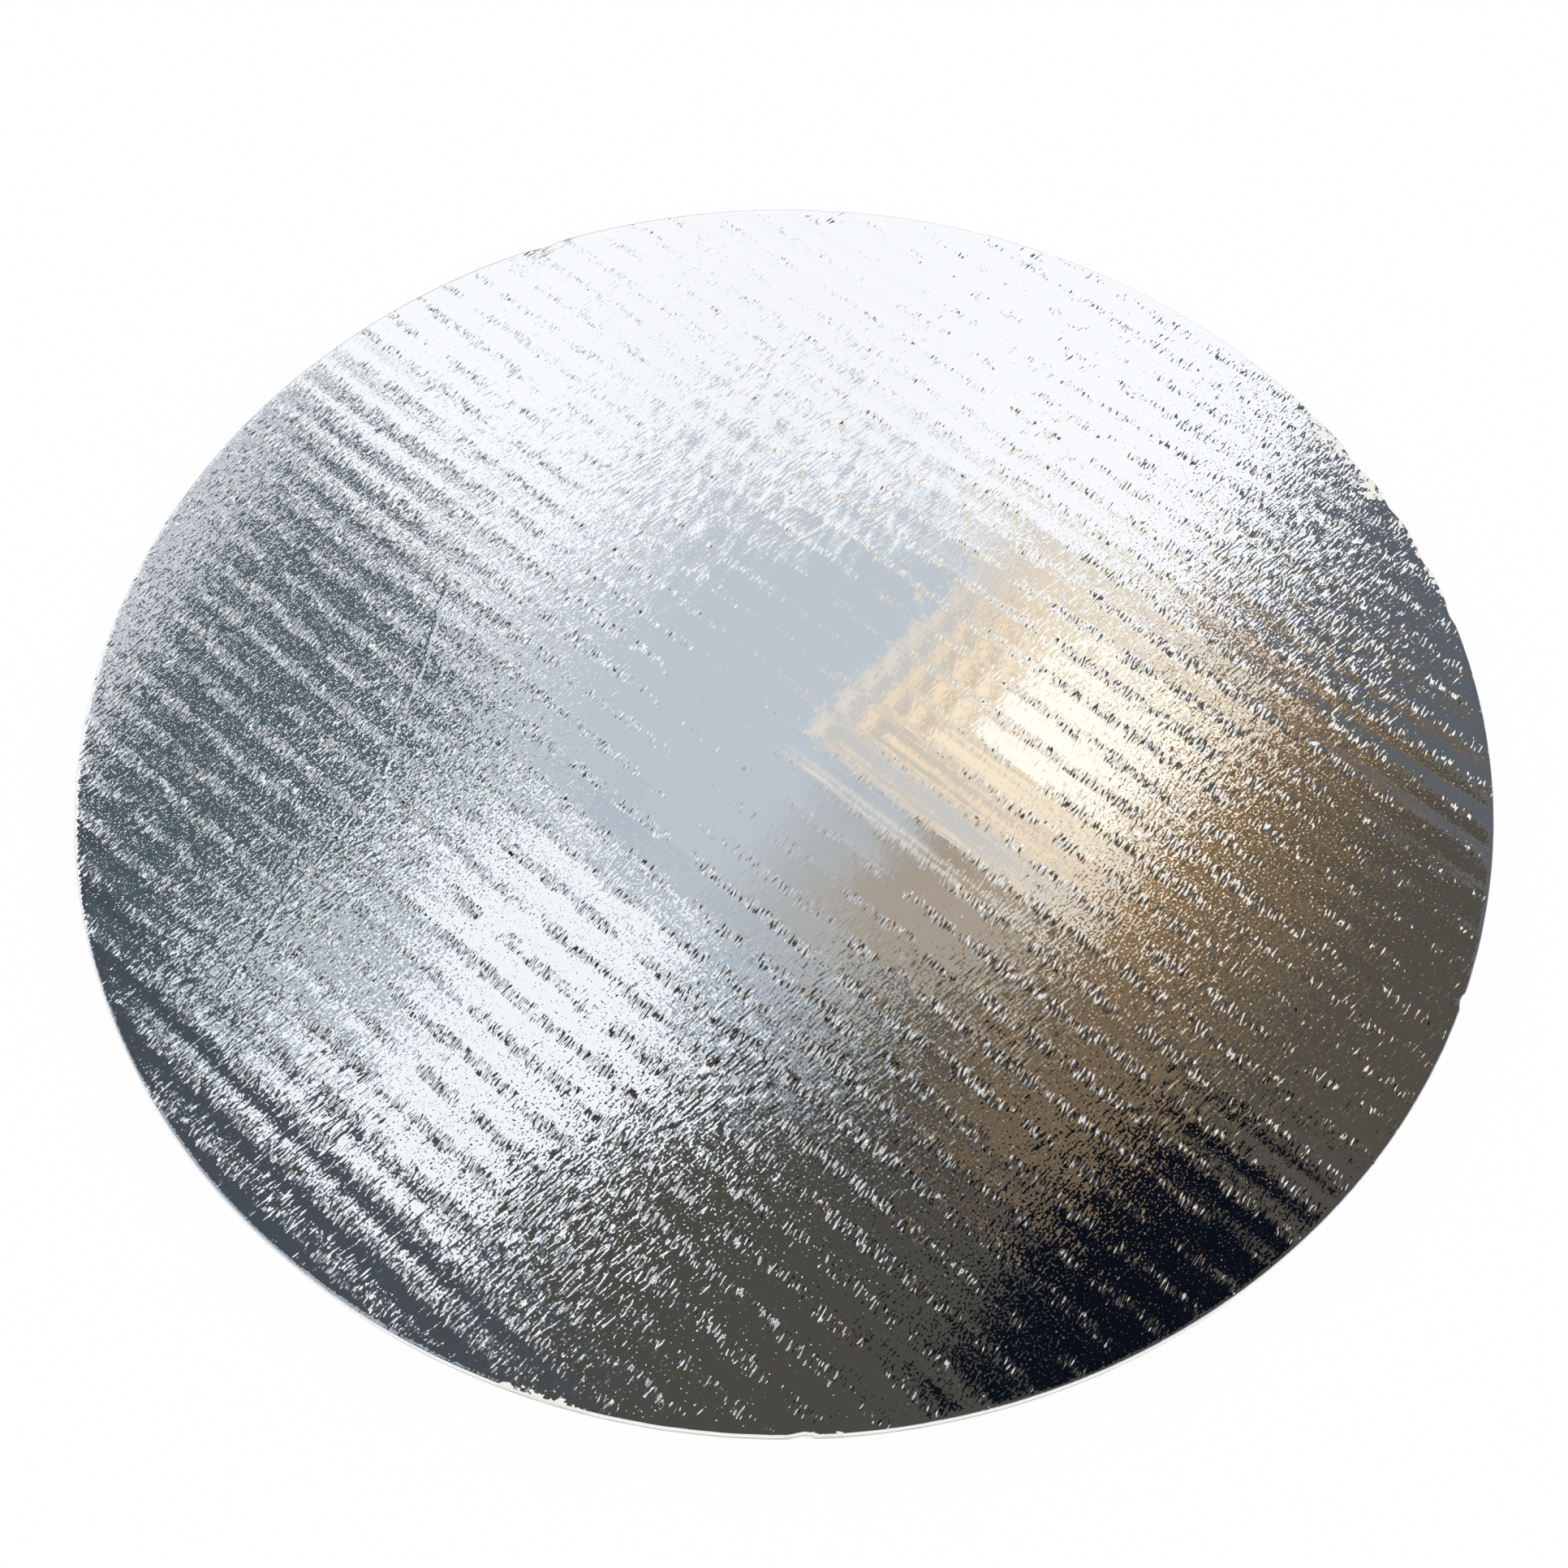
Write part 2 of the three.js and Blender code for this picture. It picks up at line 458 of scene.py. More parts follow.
@dataclass(frozen=True)
class FoilFinish:
    """Silver foil over the liner, with its glue lines, creases and torn places, in millimetres.

    The ticks lie along the glue lines, the creases and grain all over, and the folds in one place.
    """

    name: str = "silver_foil"
    colour: Colour = (0.975, 0.978, 0.982)
    roughness: float = 0.03
    band_roughness: float = 0.05
    pitch: float = 6.46
    band_width: float = 2.5
    wander: float = 1.2
    gaps: float = 0.3
    ridge_tilt: float = 0.012
    ticks: Stroke = Stroke(0.42, 1.8, 0.15, 0.05, 1.15, 3.7)
    creases: Stroke = Stroke(0.44, 2.9, -0.12, 0.013, 0.19, 11.3)
    grain: Stroke = Stroke(0.36, 0.5, 0.0, 0.006, 0.12, 23.9)
    folds: Stroke = Stroke(1.9, 8.0, 0.25, 0.03, 0.05, 41.9)
    cross_share: float = 0.4
    tick_floor: float = 0.05
    row_creases: tuple[float, float] = (0.7, 1.4)
    patch_scale: tuple[float, float, float] = (0.06, 0.035, 1.0)
    patch_detail: float = 3.0
    patch_edge: tuple[float, float] = (0.35, 0.65)
    patch_share: tuple[float, float] = (0.35, 1.3)
    folded: tuple[Scuff, ...] = (
        Scuff((-38.0, 44.0), (14.0, 50.0), 0.7),
    )
    calm: Scuff = Scuff((10.0, 6.0), (28.0, 66.0), -0.975)
    row_scuffs: tuple[Scuff, ...] = (
        Scuff((-60.0, 70.0), (40.0, 110.0), -0.5),
        Scuff((-84.0, -40.0), (30.0, 70.0), 1.3),
        Scuff((42.0, 34.0), (14.0, 34.0), 0.9),
        Scuff((112.0, 40.0), (14.0, 44.0), -0.6),
        Scuff((108.0, -48.0), (15.0, 45.0), -0.5),
    )
    crumpled: tuple[Scuff, ...] = (
        Scuff((10.0, -80.0), (30.0, 54.0), 1.2),
        Scuff((84.0, -84.0), (20.0, 52.0), -0.45),
        Scuff((2.0, -68.0), (18.0, 40.0), -2.5),
        Scuff((82.0, 36.0), (18.0, 56.0), -0.45),
        Scuff((108.0, -48.0), (15.0, 45.0), -0.6),
        Scuff((106.0, 66.0), (12.0, 38.0), -0.7),
        Scuff((-33.0, 122.5), (2.0, 9.0), 5.0),
        Scuff((-76.5, 101.0), (1.5, 7.0), 4.0),
        Scuff((-115.0, 54.0), (2.0, 9.0), 5.0),
        Scuff((-40.0, 48.0), (10.0, 50.0), 0.5),
        Scuff((66.0, 88.0), (8.0, 40.0), 1.0),
    )
    long_creases: tuple[Crease, ...] = (
        Crease((-70.0, -16.0), (-42.0, -62.0), 0.6, 0.15),
        Crease((-52.0, -30.0), (-34.0, -108.0), 0.6, 0.13),
        Crease((-44.0, 78.0), (-30.0, 6.0), 1.2, 0.07),
    )
    crease_stray: float = 7.0
    frosted: Scuff = Scuff((-84.0, -50.0), (30.0, 84.0), 0.75)
    paper: Colour = (0.95, 0.94, 0.91)
    paper_roughness: float = 0.85
    tears: tuple[Tear, ...] = (
        Tear(71.5, 5.5, 3.6),
        Tear(66.4, 2.4, 6.0),
        Tear(58.0, 9.0, 1.7),
        Tear(-65.5, 4.5, 1.5),
        Tear(-46.4, 3.0, 0.8),
    )
    tear_grain: float = 1.6
    tear_detail: float = 2.0

    def build(self, effects: Effects, radius: float) -> bpy.types.Material:
        """Builds the material.

        Args:
            effects: the shared node groups.
            radius: the board's radius in millimetres.

        Returns:
            The finished material.
        """
        material, g, shader, place = new_material(self.name)
        point = g.vector("MULTIPLY", place, (1.0, 1.0, 0.0))
        glue = g.place(
            effects.bands, Point=point, Pitch=self.pitch, Width=self.band_width,
            Wander=self.wander, Gaps=self.gaps,
        )
        band = glue.outputs["Band"]
        ridge = g.join(0.0, g.math("MULTIPLY", glue.outputs["Side"], self.ridge_tilt))
        tilt = g.vector("ADD", self.tilt(g, effects, point, band), ridge)
        torn = self.torn(g, effects, point, radius)
        foiled = g.math("SUBTRACT", 1.0, torn)
        normal = g.node("ShaderNodeNewGeometry").outputs["Normal"]
        leaning = g.vector("ADD", normal, g.scale(tilt, foiled))
        sheen = g.math("MULTIPLY_ADD", band, self.band_roughness, self.roughness)
        rough = g.math("MAXIMUM", sheen, g.math("MULTIPLY", torn, self.paper_roughness))
        g.feed(shader.inputs["Normal"], g.vector("NORMALIZE", leaning))
        g.feed(shader.inputs["Metallic"], foiled)
        g.feed(shader.inputs["Roughness"], rough)
        g.feed(shader.inputs["Base Color"], g.mix(torn, linear(self.colour), linear(self.paper)))
        return material

    def tilt(self, g: Graph, effects: Effects, point: Socket, band: Socket) -> Socket:
        """Gives how the ticks, creases, grain and folds tilt the foil.

        Args:
            g: the material's graph.
            effects: the shared node groups.
            point: the point on the board.
            band: 1 on a glue line and 0 between two.

        Returns:
            The tilt, to be added to the normal.
        """
        lively = self.spread(g, point, (self.calm,), 1.0)
        broad = g.noise(g.vector("MULTIPLY", point, self.patch_scale), self.patch_detail).outputs[0]
        patch = g.blend(g.step(broad, *self.patch_edge), *self.patch_share)
        creased = g.math("MULTIPLY", self.spread(g, point, self.crumpled, lively), patch)
        ticked = g.math("MULTIPLY", self.spread(g, point, self.row_scuffs, 1.0), g.math("SQRT", lively))
        layers = (
            (self.ticks, g.math("MULTIPLY", ticked, g.blend(band, self.tick_floor, 1.0))),
            (self.creases, g.math("MULTIPLY", creased, g.blend(band, *self.row_creases))),
            (self.grain, self.spread(g, point, (self.frosted,), lively)),
            (self.folds, self.spread(g, point, self.folded, 0.0)),
        )
        tilts = [self.stroke(g, effects, point, layer, share) for layer, share in layers]
        stray = g.math("MULTIPLY", g.math("SUBTRACT", broad, 0.5), self.crease_stray)
        for crease in self.long_creases:
            along = (crease.end[0] - crease.start[0], crease.end[1] - crease.start[1], 0.0)
            made = g.place(
                effects.long_crease, Point=point, Stray=stray, Start=(*crease.start, 0.0),
                Along=along, Width=crease.width, Steep=crease.steep,
            )
            tilts.append(made.outputs["Tilt"])
        total = tilts[0]
        for tilt in tilts[1:]:
            total = g.vector("ADD", total, tilt)
        return total

    def stroke(self, g: Graph, effects: Effects, point: Socket, layer: Stroke, share: object) -> Socket:
        """Gives the tilt of one layer of creases, at a share of its full strength."""
        made = g.place(
            effects.strokes, Point=point, Width=layer.width, Length=layer.length, Lean=layer.lean,
            Seed=layer.seed, Gentle=layer.gentle, Steep=layer.steep,
        )
        shares = g.join(share, g.math("MULTIPLY", share, self.cross_share))
        return g.vector("MULTIPLY", made.outputs["Tilt"], shares)

    def spread(self, g: Graph, point: Socket, scuffs: tuple[Scuff, ...], level: object) -> Socket:
        """Adds to a level the share of each scuff, which falls to 0 between its two reaches."""
        for scuff in scuffs:
            away = g.measure("DISTANCE", point, (*scuff.centre, 0.0))
            share = g.math("MULTIPLY_ADD", g.step(away, *scuff.reach), -scuff.share, scuff.share)
            level = g.math("ADD", level, share)
        return level

    def torn(self, g: Graph, effects: Effects, point: Socket, radius: float) -> Socket:
        """Gives the mask of the places where the paper shows."""
        place = g.vector("DIVIDE", point, (self.tear_grain,) * 3)
        ragged = g.noise(place, self.tear_detail).outputs[0]
        torn: object = 0.0
        for tear in self.tears:
            made = g.place(
                effects.tears, Point=point, Ragged=ragged, Radius=radius,
                Bearing=math.radians(tear.bearing), Spread=math.radians(tear.spread), Reach=tear.reach,
            )
            torn = g.math("MAXIMUM", torn, made.outputs["Torn"])
        return torn


@dataclass(frozen=True)
class PaperFinish:
    """A paper liner, or the cut plies of the board, in millimetres."""

    name: str
    colour: Colour
    shade: Colour
    roughness: float = 0.85
    fibre_size: float = 0.25
    fibre_height: float = 0.02
    fibre_share: float = 0.5
    stain_edge: tuple[float, float] = (0.3, 0.7)

    def build(self, effects: Effects) -> bpy.types.Material:
        """Builds the material.

        Args:
            effects: the shared node groups.

        Returns:
            The finished material.
        """
        material, g, shader, point = new_material(self.name)
        paper = g.place(effects.fibres, Point=point, Size=self.fibre_size)
        mottle = g.math("MULTIPLY", paper.outputs["Mottle"], 1 - self.fibre_share)
        mixed = g.math("MULTIPLY_ADD", paper.outputs["Fibre"], self.fibre_share, mottle)
        stain = g.step(mixed, *self.stain_edge)
        g.feed(shader.inputs["Base Color"], g.mix(stain, linear(self.shade), linear(self.colour)))
        g.feed(shader.inputs["Roughness"], self.roughness)
        bump = g.node("ShaderNodeBump")
        g.feed(bump.inputs["Height"], g.math("MULTIPLY", paper.outputs["Fibre"], self.fibre_height))
        g.feed(bump.inputs["Distance"], MM)
        g.feed(shader.inputs["Normal"], bump.outputs["Normal"])
        return material


class Surface(Enum):
    """The material slots of the board's mesh."""

    FOIL = 0
    CARD = 1
    LINER = 2


@dataclass(frozen=True)
class Nick:
    """A torn or dented place in the rim: degrees from +X, length along the rim and depth."""

    bearing: float
    length: float
    depth: float


@dataclass(frozen=True)
class Ring:
    """One ring of the rim: its distance in, its height and the surface that ends there.

    The height of a ring on the face is None, because the relief gives it.
    """

    inset: float
    height: float | None
    surface: Surface


@dataclass(frozen=True)
class Ripple:
    """A noise from about -1 to 1, by the size of its features along and across the flutes."""

    along: float
    across: float
    layer: float

    def at(self, x: float, y: float) -> float:
        """Gives the noise at a point."""
        return noise.noise(Vector((x / self.along, y / self.across, self.layer)))


@dataclass
class Relief:
    """The washboard of the face, and the slow waves of its foil."""

    pitch: float = 6.46 * MM
    land: float = 2.0 * MM
    dip: float = 0.02 * MM
    flat_share: float = 0.25
    flat_centre: tuple[float, float] = (18.0 * MM, -8.0 * MM)
    flat_reach: tuple[float, float] = (60.0 * MM, 110.0 * MM)
    wander: float = 0.35 * MM
    wandering: Ripple = Ripple(25 * MM, 9 * MM, 2.3)
    uneven_share: float = 0.6
    uneven: Ripple = Ripple(40 * MM, 12 * MM, 5.1)
    wave: float = 0.03 * MM
    waving: Ripple = Ripple(34 * MM, 30 * MM, 7.7)
    cross_wave: float = 0.001 * MM
    cross_waving: Ripple = Ripple(6 * MM, 28 * MM, 11.3)

    def depth(self, x: float, y: float) -> float:
        """Gives how far the face dips between two crests at a point."""
        turns = (y + self.wander * self.wandering.at(x, y)) / self.pitch
        aside = abs(turns - round(turns)) * self.pitch
        across = max(0.0, (aside - self.land / 2) / (self.pitch - self.land))
        strength = 1 + self.uneven_share * self.uneven.at(x, y)
        away = math.dist((x, y), self.flat_centre)
        share = smooth((away - self.flat_reach[0]) / (self.flat_reach[1] - self.flat_reach[0]))
        strength *= self.flat_share + (1 - self.flat_share) * share
        return strength * self.dip * (1 - math.cos(2 * math.pi * across)) / 2

    def waves(self, x: float, y: float) -> float:
        """Gives the slow waves of the foil, below the crests."""
        slow = self.wave * (1 + self.waving.at(x, y))
        cross = self.cross_wave * (1 + self.cross_waving.at(x, y))
        return slow + cross


@dataclass
class Shell:
    """The points and faces of a mesh while it is put together."""

    points: list[Point] = field(default_factory=list)
    faces: list[tuple[int, ...]] = field(default_factory=list)
    surfaces: list[int] = field(default_factory=list)

    def cover(self, faces: list[tuple[int, ...]], surface: Surface) -> None:
        """Adds faces that have the same surface."""
        self.faces += faces
        self.surfaces += [surface.value] * len(faces)

    def skirt(self, above: list[int], points: list[Point], surface: Surface) -> list[int]:
        """Adds a ring of points, and the faces that join it to the ring above.

        Args:
            above: the numbers of the points of the ring above.
            points: the points of the new ring.
            surface: the surface between the two rings.

        Returns:
            The numbers of the new points.
        """
        here = list(range(len(self.points), len(self.points) + len(points)))
        self.points += points
        following = (*range(1, len(points)), 0)
        band = [(above[i], here[i], here[j], above[j]) for i, j in enumerate(following)]
        self.cover(band, surface)
        return here

    def mesh(self, name: str, sharp_angle: float) -> bpy.types.Mesh:
        """Makes the mesh, smooth but for its edges above a sharp angle in degrees."""
        mesh = bpy.data.meshes.new(name)
        mesh.from_pydata(self.points, [], self.faces)
        mesh.polygons.foreach_set("material_index", np.array(self.surfaces, np.int32))
        mesh.validate()
        mesh.polygons.foreach_set("use_smooth", np.ones(len(mesh.polygons), bool))
        mesh.set_sharp_from_angle(angle=math.radians(sharp_angle))
        return mesh


@dataclass
class CakeBoard:
    """The board: a washboard face, a crushed and foiled rim, a cut edge and a plain underside."""

    relief: Relief = field(default_factory=Relief)
    ring_points: int = 900
    face_step: tuple[float, float] = (1.25 * MM, 0.8 * MM)
    under_step: tuple[float, float] = (3.2 * MM, 1.4 * MM)
    crush_width: float = 2.2 * MM
    crush_depth: float = 0.008 * MM
    sag_depth: float = 0.3 * MM
    sag_width: float = 15.0 * MM
    sag_bearing: float = 210.0
    sag_spread: float = 48.0
    foil_roll: float = 0.45 * MM
    roll_drop: float = 0.01 * MM
    foil_drop: float = 0.5 * MM
    foil_step: float = 0.2 * MM
    foil_lip: float = 0.02 * MM
    groove_depth: float = 0.12 * MM
    groove_height: float = 0.24 * MM
    bottom_ease: float = 0.25 * MM
    ease_share: float = 0.3
    ply_grooves: int = 2
    roll_steps: int = 5
    crush_steps: int = 5
    crush_margin: float = 1.2 * MM
    rim_relief: float = 0.3
    rim_wobble: float = 0.12 * MM
    rim_slow: Ripple = Ripple(0.25, 0.25, 3.0)
    rim_quick: Ripple = Ripple(0.025, 0.025, 9.0)
    rim_quick_share: float = 0.3
    rim_inward: float = 0.5
    rim_gap: float = 0.55
    under_dip: float = 0.05 * MM
    merge_distance: float = 1e-7
    sharp_angle: float = 38.0
    nick_ragged: float = 0.5
    nick_grain: float = 90.0
    nick_layer: float = 0.5
    nicks: tuple[Nick, ...] = (
        Nick(51.8, 5.5 * MM, 0.4 * MM),
        Nick(57.6, 6.5 * MM, 0.5 * MM),
        Nick(63.7, 7.0 * MM, 0.6 * MM),
        Nick(69.1, 9.0 * MM, 0.8 * MM),
        Nick(75.4, 5.0 * MM, 0.4 * MM),
        Nick(105.2, 3.5 * MM, 0.6 * MM),
        Nick(127.1, 3.0 * MM, 0.5 * MM),
        Nick(154.9, 7.0 * MM, 0.6 * MM),
        Nick(-47.3, 4.0 * MM, 0.5 * MM),
        Nick(15.2, 3.0 * MM, 0.5 * MM),
    )

    def __post_init__(self) -> None:
        """Takes the disc's radius and thickness from the fixed frame."""
        low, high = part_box(NODE)
        self.radius = (high.x - low.x) / 2
        self.thickness = high.z
        self.bearings = [2 * math.pi * i / self.ring_points for i in range(self.ring_points)]
        self.nick_depths = [self.nick_depth(a) for a in self.bearings]
        self.wobbles = [self.wobble(a) for a in self.bearings]

    def nick_depth(self, bearing: float) -> float:
        """Gives how deep the rim is nicked at a bearing in radians."""
        deepest = 0.0
        for nick in self.nicks:
            turn = (bearing - math.radians(nick.bearing) + math.pi) % (2 * math.pi) - math.pi
            along = 2 * turn * self.radius / nick.length
            if abs(along) < 1:
                place = Vector((bearing * self.nick_grain, nick.bearing, self.nick_layer))
                ragged = 1 + self.nick_ragged * noise.noise(place)
                deepest = max(deepest, nick.depth * (1 - along * along) * ragged)
        return deepest

    def wobble(self, bearing: float) -> float:
        """Gives how far the die-cut rim strays from a true circle."""
        x, y = math.cos(bearing), math.sin(bearing)
        slow = (1 - self.rim_quick_share) * self.rim_slow.at(x, y)
        quick = self.rim_quick_share * self.rim_quick.at(x, y)
        return self.rim_wobble * (slow + quick - self.rim_inward)

    def crush(self, inset: float) -> float:
        """Gives how far the die pressed the face down at a distance in from the rim."""
        slope = self.crush_width - self.foil_roll
        return self.crush_depth * smooth((self.crush_width - inset) / slope)

    def sag(self, x: float, y: float) -> float:
        """Gives how far the rim is bent down at a point, on the side where it was handled."""
        turn = (math.degrees(math.atan2(y, x)) - self.sag_bearing + 180) % 360 - 180
        inset = self.radius - math.hypot(x, y)
        window = 1 - smooth(abs(turn) / self.sag_spread)
        return self.sag_depth * window * max(0.0, 1 - inset / self.sag_width) ** 2

    def rim_section(self) -> list[Ring]:
        """Gives the rings of the rim, from the face outwards and down."""
        rings = []
        span = self.crush_width + self.crush_margin - self.foil_roll
        for i in range(self.crush_steps):
            inset = self.foil_roll + span * (1 - i / self.crush_steps)
            rings.append(Ring(inset, None, Surface.FOIL))
        top = self.thickness - self.crush_depth - self.roll_drop
        for i in range(self.roll_steps + 1):
            turn = math.pi / 2 * i / self.roll_steps
            inset = self.foil_roll * (1 - math.sin(turn))
            rings.append(Ring(inset, top - self.foil_roll * (1 - math.cos(turn)), Surface.FOIL))
        foil_end = top - self.foil_roll - self.foil_drop
        rings.append(Ring(0.0, foil_end, Surface.FOIL))
        card = self.foil_step
        rings.append(Ring(card, foil_end - self.foil_lip, Surface.CARD))
        for i in range(self.ply_grooves, 0, -1):
            height = self.bottom_ease + (foil_end - self.bottom_ease) * i / (self.ply_grooves + 1)
            rings.append(Ring(card, height + self.groove_height / 2, Surface.CARD))
            rings.append(Ring(card + self.groove_depth, height, Surface.CARD))
            rings.append(Ring(card, height - self.groove_height / 2, Surface.CARD))
        part = self.bottom_ease * self.ease_share
        rings.append(Ring(card, self.bottom_ease, Surface.CARD))
        rings.append(Ring(card + part, part, Surface.CARD))
        rings.append(Ring(card + self.bottom_ease, 0.0, Surface.CARD))
        return rings

    def rim_line(self, ring: Ring, share: float) -> list[Point]:
        """Gives the points of one ring.

        Args:
            ring: the ring.
            share: how far it follows the nicks and the stray of the cut, from 0 to 1.

        Returns:
            One point at each bearing.
        """
        points = []
        for bearing, nick, wobble in zip(self.bearings, self.nick_depths, self.wobbles):
            reach = self.radius - ring.inset + share * wobble - nick * share
            x, y = reach * math.cos(bearing), reach * math.sin(bearing)
            points.append((x, y, self.rim_height(ring, x, y)))
        return points

    def rim_height(self, ring: Ring, x: float, y: float) -> float:
        """Gives the height of a ring at a point, where the foil follows its waves and its sag."""
        if ring.surface is not Surface.FOIL:
            return ring.height
        height = ring.height
        if height is None:
            slope = (1 - self.rim_relief) * ring.inset / self.crush_width
            dip = self.relief.depth(x, y) * min(1.0, self.rim_relief + slope)
            height = self.thickness - dip - self.crush(ring.inset)
        return height - self.relief.waves(x, y) - self.sag(x, y)

    def inner_points(self, radius: float, step: tuple[float, float]) -> list[Vector]:
        """Gives staggered rows of points along the flutes, inside a circle."""
        across = step[1]
        rows = int(radius / across)
        points = []
        for row in range(-rows, rows + 1):
            y = row * across
            reach = radius - self.rim_gap * max(step)
            if abs(y) >= reach:
                continue
            span = math.sqrt(reach * reach - y * y)
            shift = 0.5 * step[0] * (row % 2)
            first = math.ceil((-span - shift) / step[0])
            last = math.floor((span - shift) / step[0])
            points += [Vector((i * step[0] + shift, y)) for i in range(first, last + 1)]
        return points

    def sheet(self, radius: float, step: tuple[float, float]) -> Sheet:
        """Covers a circle with triangles whose first points are the circle's own.

        Args:
            radius: the circle's radius.
            step: the spacing along and across the flutes.

        Returns:
            The points in the plane and the triangles.
        """
        ring = [Vector((radius * math.cos(a), radius * math.sin(a))) for a in self.bearings]
        given = ring + self.inner_points(radius, step)
        count = self.ring_points
        edges = [(i, (i + 1) % count) for i in range(count)]
        _, _, faces, origins, _, _ = geometry.delaunay_2d_cdt(
            given, edges, [], TRIANGLES_INSIDE, self.merge_distance, True
        )
        number = [origin[0] for origin in origins]
        return given, [tuple(number[i] for i in face) for face in faces]

    def build_mesh(self) -> bpy.types.Mesh:
        """Builds the closed mesh of the whole board.

        Returns:
            The mesh, with a material index on each face.
        """
        rings = self.rim_section()
        shell = Shell()
        flat, triangles = self.sheet(self.radius - rings[0].inset, self.face_step)
        for x, y in flat:
            drop = self.relief.depth(x, y) + self.relief.waves(x, y) + self.sag(x, y)
            shell.points.append((x, y, self.thickness - drop))
        shell.cover(triangles, Surface.FOIL)
        above = list(range(self.ring_points))
        for ring in rings[1:]:
            share = max(0.0, 1 - ring.inset / rings[0].inset)
            above = shell.skirt(above, self.rim_line(ring, share), ring.surface)
        under = Relief(dip=self.under_dip)
        flat, triangles = self.sheet(self.radius - rings[-1].inset, self.under_step)
        start = len(shell.points)
        shell.points += [(x, y, under.depth(x, y)) for x, y in flat[self.ring_points:]]
        number = above + list(range(start, len(shell.points)))
        turned = [tuple(number[i] for i in reversed(triangle)) for triangle in triangles]
        shell.cover(turned, Surface.LINER)
        return shell.mesh("cake_board_foiled", self.sharp_angle)

    def build(self, effects: Effects) -> bpy.types.Object:
        """Builds and dresses the board, and puts it in the place of its solid.

        Args:
            effects: the shared node groups.

        Returns:
            The finished board.
        """
        board = bpy.data.objects.new("foil_cake_board", self.build_mesh())
        bpy.context.scene.collection.objects.link(board)
        finishes = {
            Surface.CARD: PaperFinish("cut_card", (0.93, 0.925, 0.91), (0.78, 0.775, 0.76)),
            Surface.LINER: PaperFinish("white_liner", (0.93, 0.925, 0.905), (0.86, 0.85, 0.825)),
        }
        board.data.materials.append(FoilFinish().build(effects, self.radius / MM))
        for surface in (Surface.CARD, Surface.LINER):
            board.data.materials.append(finishes[surface].build(effects))
        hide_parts(NODE)
        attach(board, BODY)
        return board


@dataclass(frozen=True)
class Viewpoint:
    """The camera, looking down on the board across its flutes."""

    azimuth: float = 41.4
    elevation: float = 58.218
    distance: float = 0.3679
    tilt: float = 1.893
    focal_pixels: float = 2500.0
    image_side: float = 1932.0
    sensor: float = 36.0
    clip_start: float = 0.01

    def offset(self) -> Vector:
        """Gives the camera's place seen from the centre of the face."""
        level = self.distance * math.cos(math.radians(self.elevation))
        turn = math.radians(self.azimuth)
        rise = self.distance * math.sin(math.radians(self.elevation))
        return Vector((level * math.sin(turn), -level * math.cos(turn), rise))

    def build(self, face_height: float) -> None:
        """Makes the camera and hands it to the scene.

        Args:
            face_height: height of the board's face.
        """
        lens = bpy.data.cameras.new("camera")
        lens.sensor_width = self.sensor
        lens.lens = self.sensor * self.focal_pixels / self.image_side
        lens.clip_start = self.clip_start
        camera = bpy.data.objects.new("camera", lens)
        camera.location = self.offset() + Vector((0, 0, face_height))
        pitch = math.radians(90 - self.elevation - self.tilt)
        camera.rotation_euler = (pitch, 0, math.radians(self.azimuth))
        bpy.context.scene.collection.objects.link(camera)
        bpy.context.scene.camera = camera


@dataclass(frozen=True)
class Panel:
    """A field of the ceiling, by the spot of the board where it shows, in board radii.

    The edges of a steady panel stay straight. Those of the others stray a little.
    """

    name: str
    low: tuple[float, float]
    high: tuple[float, float]
    colour: Colour
    soft: float = 0.06
    strength: float = 1.0
    steady: bool = False


